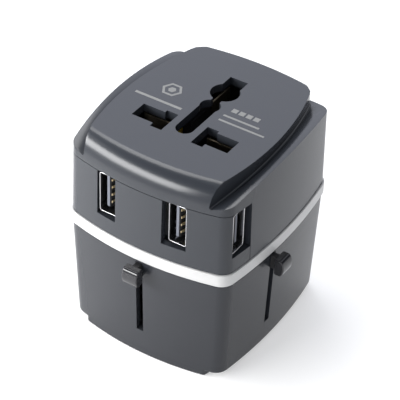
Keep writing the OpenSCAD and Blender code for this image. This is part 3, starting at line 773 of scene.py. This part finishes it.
def make_finger(side, z, wall_x):
    """A spring finger cut from the sheet, bowed into the port."""
    rings = []
    steps = 12
    bottom = z - FINGER_HALF
    top = z + FINGER_HALF
    for i in range(steps + 1):
        t = i / steps
        y = FINGER_Y + FINGER_LENGTH * t
        bend = FINGER_BEND * math.sin(math.pi * min(t * 1.15, 1)) ** 2
        x_out = side * (wall_x + SHEET - bend - FINGER_X)
        x_in = side * (wall_x - bend + 2 * FINGER_X)
        rings.append([(x_in, y, bottom), (x_out, y, bottom), (x_out, y, top), (x_in, y, top)])
    return loft("finger", rings)


def make_port_tongue(place):
    """The insulating tongue on its base block, with a bevelled nose and a channel for each contact; its faces
    behind the nose are painted near-black as shade inside the port.
    """
    inner = PORT_W / 2 - SHEET - FIT
    face = PORT_DEPTH - SHEET - TONGUE_BASE
    a = (-inner, face, SHEET + FIT)
    b = (inner, PORT_DEPTH - SHEET - FIT, PORT_H - SHEET - FIT)
    tongue = block("usb_insert_" + place, a, b)
    x0 = TONGUE_X - TONGUE_T / 2
    x1 = TONGUE_X + TONGUE_T / 2
    z0 = SHEET + TONGUE_MARGIN
    z1 = PORT_H - SHEET - TONGUE_MARGIN
    nose_end = TONGUE_START + 2 * NOSE
    rings = []
    for y, back in ((TONGUE_START, NOSE), (TONGUE_START + NOSE, NOSE_STEP), (nose_end, 0), (face + 0.5, 0)):
        rings.append([(x, y, z) for x, z in rectangle(x0 + back, z0 + back, x1 - back, z1 - back)])
    combine(tongue, loft("plate", rings), "UNION")
    for z in contact_heights():
        start = (x1 - CHANNEL_DEPTH, TONGUE_START + CHANNEL_START, z - CHANNEL_HALF)
        combine(tongue, block("channel", start, (x1 + 0.5, face + 0.01, z + CHANNEL_HALF)))
    soften(tongue, TONGUE_EDGE, 2, 40)
    moved(tongue, port_matrix(place))
    smooth(tongue)
    settle(tongue, "housing", "usb_tongue_" + place, TONGUE)
    # Painted shade: the faces deeper than the middle of the nose take the near-black inner material, darkening the
    # tongue inside the port.
    tongue.data.materials.append(INNER_AND_SHADE)
    mouth = port_matrix(place) @ Vector((0, TONGUE_START + NOSE / 2, 0))
    inwards = (port_matrix(place) @ Vector((0, 1, 0, 0))).to_3d()
    for polygon in tongue.data.polygons:
        if (polygon.center / MM - mouth).dot(inwards) > 0:
            polygon.material_index = 1


def contact_heights():
    return [PORT_H / 2 + i * CONTACT_PITCH for i in (-1.5, -0.5, 0.5, 1.5)]


def make_port_contacts(place):
    """Four gilt springs that bow up from the tongue's face."""
    x1 = TONGUE_X + TONGUE_T / 2
    face = PORT_DEPTH - SHEET - TONGUE_BASE
    start = TONGUE_START + CONTACT_START
    steps = 14

    def make(bm):
        for z in contact_heights():
            loops = []
            for i in range(steps + 1):
                t = i / steps
                y = mix(start, face, t)
                rise = math.sin(math.pi * min(t / 0.6 + 0.12, 1)) ** 2
                back = x1 + CONTACT_LIFT * rise - CONTACT_SINK
                wide = mix(CONTACT_TIP, CONTACT_HALF, min(t * 3, 1))
                thin = wide - CONTACT_EDGE
                front = back + CONTACT_T
                ring = [(back, z - wide), (front, z - thin), (front, z + thin), (back, z + wide)]
                loops.append([bm.verts.new((x, y, zz)) for x, zz in ring])
            for one, two in zip(loops, loops[1:]):
                for i in range(4):
                    j = (i + 1) % 4
                    bm.faces.new((one[i], one[j], two[j], two[i]))
            bm.faces.new(loops[0])
            bm.faces.new(loops[-1])
    contacts = new_object("usb_springs_" + place, make)
    moved(contacts, port_matrix(place))
    smooth(contacts)
    settle(contacts, "housing", "usb_contacts_" + place, GOLD)


# ---------------------------------------------------------------- knobs

def knob_matrix(node):
    """Puts a knob, back face at y = 0 and outer face towards -Y, on its slider's stem."""
    a = low(node)
    b = high(node)
    z = (a.z + b.z) / 2
    if node == "us_knob":
        return Matrix(((1, 0, 0, (a.x + b.x) / 2), (0, 1, 0, b.y), (0, 0, 1, z), (0, 0, 0, 1)))
    if node == "uk_knob":
        return Matrix(((0, -1, 0, a.x), (1, 0, 0, (a.y + b.y) / 2), (0, 0, 1, z), (0, 0, 0, 1)))
    return Matrix(((0, 1, 0, b.x), (-1, 0, 0, (a.y + b.y) / 2), (0, 0, 1, z), (0, 0, 0, 1)))


KNOB_CROWN = 1.25
KNOB_EDGE = 0.28
KNOB_BACK = 0.22
STEM_PLAY = 0.2
STEM_SEAT = 1.2
STEM_END = 0.3


def make_knob(node, body):
    """A bar of D-shaped section with a narrow rounding round its flat ends, sunk on its stem."""
    width = high("us_knob").x - low("us_knob").x
    height = high("us_knob").z - low("us_knob").z
    thick = high("us_knob").y - low("us_knob").y
    count = 22
    ends = [math.pi / 2 * i / 4 for i in range(5)]
    stations = [(KNOB_EDGE * (1 - math.cos(a)) - width / 2, KNOB_EDGE * (1 - math.sin(a))) for a in ends]
    stations += [(-x, inset) for x, inset in reversed(stations)]
    rings = []
    for x, inset in stations:
        half = height / 2 - inset
        front = thick - inset - KNOB_CROWN
        nose = []
        for i in range(count + 1):
            a = math.pi * (i / count - 0.5)
            nose.append((-front - KNOB_CROWN * math.cos(a) ** 0.9, half * math.sin(a)))
        foot = [(-inset, KNOB_BACK - half), (-inset - KNOB_BACK, -half)]
        head = [(-inset - KNOB_BACK, half), (-inset, half - KNOB_BACK)]
        rings.append([(x, y, z) for y, z in foot + nose + head])
    knob = loft(node + "_bar", rings)
    stem = SLOT_W / 2 - STEM_PLAY
    stem_h = height / 2 - STEM_END
    combine(knob, block("recess", (-stem, -STEM_SEAT, -stem_h), (stem, 1, stem_h)))
    moved(knob, knob_matrix(node))
    smooth(knob, 50)
    settle(knob, body, node, GLOSS)


# ---------------------------------------------------------------- pieces with rounded edges

BODY_OF = {node: body for body, nodes in frame["record"]["behaviour"]["bodies"].items() for node in nodes}
ROUNDED = {
    "us_carriage": 0.3, "uk_carriage": 0.3, "eu_carriage": 0.3,
    "us_blade_left": 0.25, "us_blade_right": 0.25,
    "uk_pin_line": 0.3, "uk_pin_neutral": 0.3, "uk_pin_earth": 0.4,
    "line_socket_contact": 0.15, "neutral_socket_contact": 0.15, "earth_socket_contact": 0.15,
    "line_busbar": 0.12, "neutral_busbar": 0.12, "earth_leaf": 0.12,
    "mid_chassis": 0.25, "charger_pcb": 0.1, "housing_screws": 0.2, "cover_screws": 0.2,
    "transformer_core": 0.2, "transformer_winding": 0.5, "capacitors": 0.4, "driver_chips": 0.15,
    "fuse": 0.25, "fuse_clips": 0.1, "blade_clips": 0.1,
}


make_lower_housing()
make_trim_band()
make_usb_panel()
make_top_cover()
make_marks()
for place in PORTS:
    make_port_shell(place)
    make_port_tongue(place)
    make_port_contacts(place)
for node, body in (("us_knob", "us_slider"), ("uk_knob", "uk_slider"), ("eu_knob", "eu_slider")):
    make_knob(node, body)
for node, width in ROUNDED.items():
    piece = rounded_copy(node, width)
    finish = PIN_BRASS if node.startswith("uk_pin") else FINISH[NODE_SLOT[node]]
    settle(piece, BODY_OF[node], node, finish)


# ---------------------------------------------------------------- camera, light and floor

CAMERA_AZIMUTH = math.radians(31.822)
CAMERA_ELEVATION = math.radians(38.514)
CAMERA_ROLL = math.radians(2.05)
CAMERA_DISTANCE = 509.4 * MM
TARGET_Z = 36.46 * MM
CAMERA_SHIFT = (0.278, -0.016)
LENS = 164.1
SENSOR = 36
NEAREST = 10 * MM


def make_camera():
    a = CAMERA_AZIMUTH
    e = CAMERA_ELEVATION
    back = Vector((math.sin(a) * math.cos(e), -math.cos(a) * math.cos(e), math.sin(e)))
    right = Vector((0, 0, 1)).cross(back).normalized()
    up = back.cross(right)
    c = math.cos(CAMERA_ROLL)
    s = math.sin(CAMERA_ROLL)
    turned_right = c * right + s * up
    turned_up = c * up - s * right
    data = bpy.data.cameras.new("camera")
    data.lens = LENS
    data.sensor_width = SENSOR
    data.clip_start = NEAREST
    camera = bpy.data.objects.new("camera", data)
    bpy.context.scene.collection.objects.link(camera)
    spot = Vector((0, 0, TARGET_Z)) + back * CAMERA_DISTANCE
    spot += (turned_right * CAMERA_SHIFT[0] + turned_up * CAMERA_SHIFT[1]) * MM
    turn = Matrix((turned_right, turned_up, back)).transposed().to_4x4()
    camera.matrix_world = Matrix.Translation(spot) @ turn
    bpy.context.scene.camera = camera


def area_light(name, place, aim, size, power, color):
    data = bpy.data.lights.new(name, "AREA")
    data.shape = "RECTANGLE"
    data.size = size[0]
    data.size_y = size[1]
    data.energy = power
    data.color = color
    light = bpy.data.objects.new(name, data)
    bpy.context.scene.collection.objects.link(light)
    light.location = place
    light.rotation_euler = (Vector(aim) - Vector(place)).to_track_quat("-Z", "Y").to_euler()
    light.visible_camera = False


# Each direction fades from the first cosine to the second.
DARK_SIDES = {(-0.44, -0.70, 0.52): (0.74, 0.90), (0.78, 0.40, 0.50): (0.82, 0.93)}
DARK_LEVEL = 0.07
ROOM_LIGHT = 0.72
FLOOR_GLOW = 0.46
FLOOR_SIZE = 4000
# Name: place, aim, size, power and colour.
LIGHTS = {
    "top_softbox": ((-0.35, 0.17, 0.81), (0, 0, 0.05), (0.42, 0.42), 3.4, (1, 1, 1)),
    "rear_softbox": ((-0.42, 0.68, 0.64), (0, 0, 0.06), (0.7, 0.7), 2.2, (0.90, 0.94, 1.10)),
    "left_softbox": ((-0.55, -0.22, 0.32), (-0.05, -0.03, 0.02), (0.35, 0.35), 0.6, (1, 1, 1)),
    "front_card": ((-0.141, -0.197, 0.120), (0, -0.028, 0.062), (0.28, 0.08), 1.2, (1, 1, 1)),
}


def make_world():
    """An even white room with two darker sides half way up: front left and rear right."""
    world = bpy.data.worlds.new("studio")
    world.use_nodes = True
    tree = world.node_tree
    back = tree.nodes["Background"]
    back.inputs["Color"].default_value = (0.96, 0.98, 1.04, 1)
    place = tree.nodes.new("ShaderNodeTexCoord")
    strength = None
    for side, (start, end) in DARK_SIDES.items():
        towards = tree.nodes.new("ShaderNodeVectorMath")
        towards.operation = "DOT_PRODUCT"
        towards.inputs[1].default_value = Vector(side).normalized()
        tree.links.new(place.outputs["Generated"], towards.inputs[0])
        dim = tree.nodes.new("ShaderNodeMapRange")
        dim.interpolation_type = "SMOOTHSTEP"
        dim.inputs["From Min"].default_value = start
        dim.inputs["From Max"].default_value = end
        dim.inputs["To Min"].default_value = 1.0
        dim.inputs["To Max"].default_value = DARK_LEVEL
        tree.links.new(towards.outputs["Value"], dim.inputs["Value"])
        both = tree.nodes.new("ShaderNodeMath")
        both.operation = "MULTIPLY"
        both.inputs[1].default_value = ROOM_LIGHT
        tree.links.new(dim.outputs["Result"], both.inputs[0])
        if strength:
            tree.links.new(strength, both.inputs[1])
        strength = both.outputs[0]
    tree.links.new(strength, back.inputs["Strength"])
    bpy.context.scene.world = world


def make_stage():
    def make(bm):
        bmesh.ops.create_grid(bm, x_segments=1, y_segments=1, size=FLOOR_SIZE)
    floor = new_object("floor", make)
    pale = material("floor_pale", (0.62, 0.62, 0.62), 0.6, mottle=0.0, specular=0.2)
    shader = pale.node_tree.nodes["Principled BSDF"]
    shader.inputs["Emission Color"].default_value = (1, 1, 1, 1)
    shader.inputs["Emission Strength"].default_value = FLOOR_GLOW
    floor.data.materials.append(pale)
    for name, values in LIGHTS.items():
        area_light(name, *values)


bpy.context.scene.view_settings.view_transform = "Standard"
make_camera()
make_world()
make_stage()

bpy.context.view_layer.update()
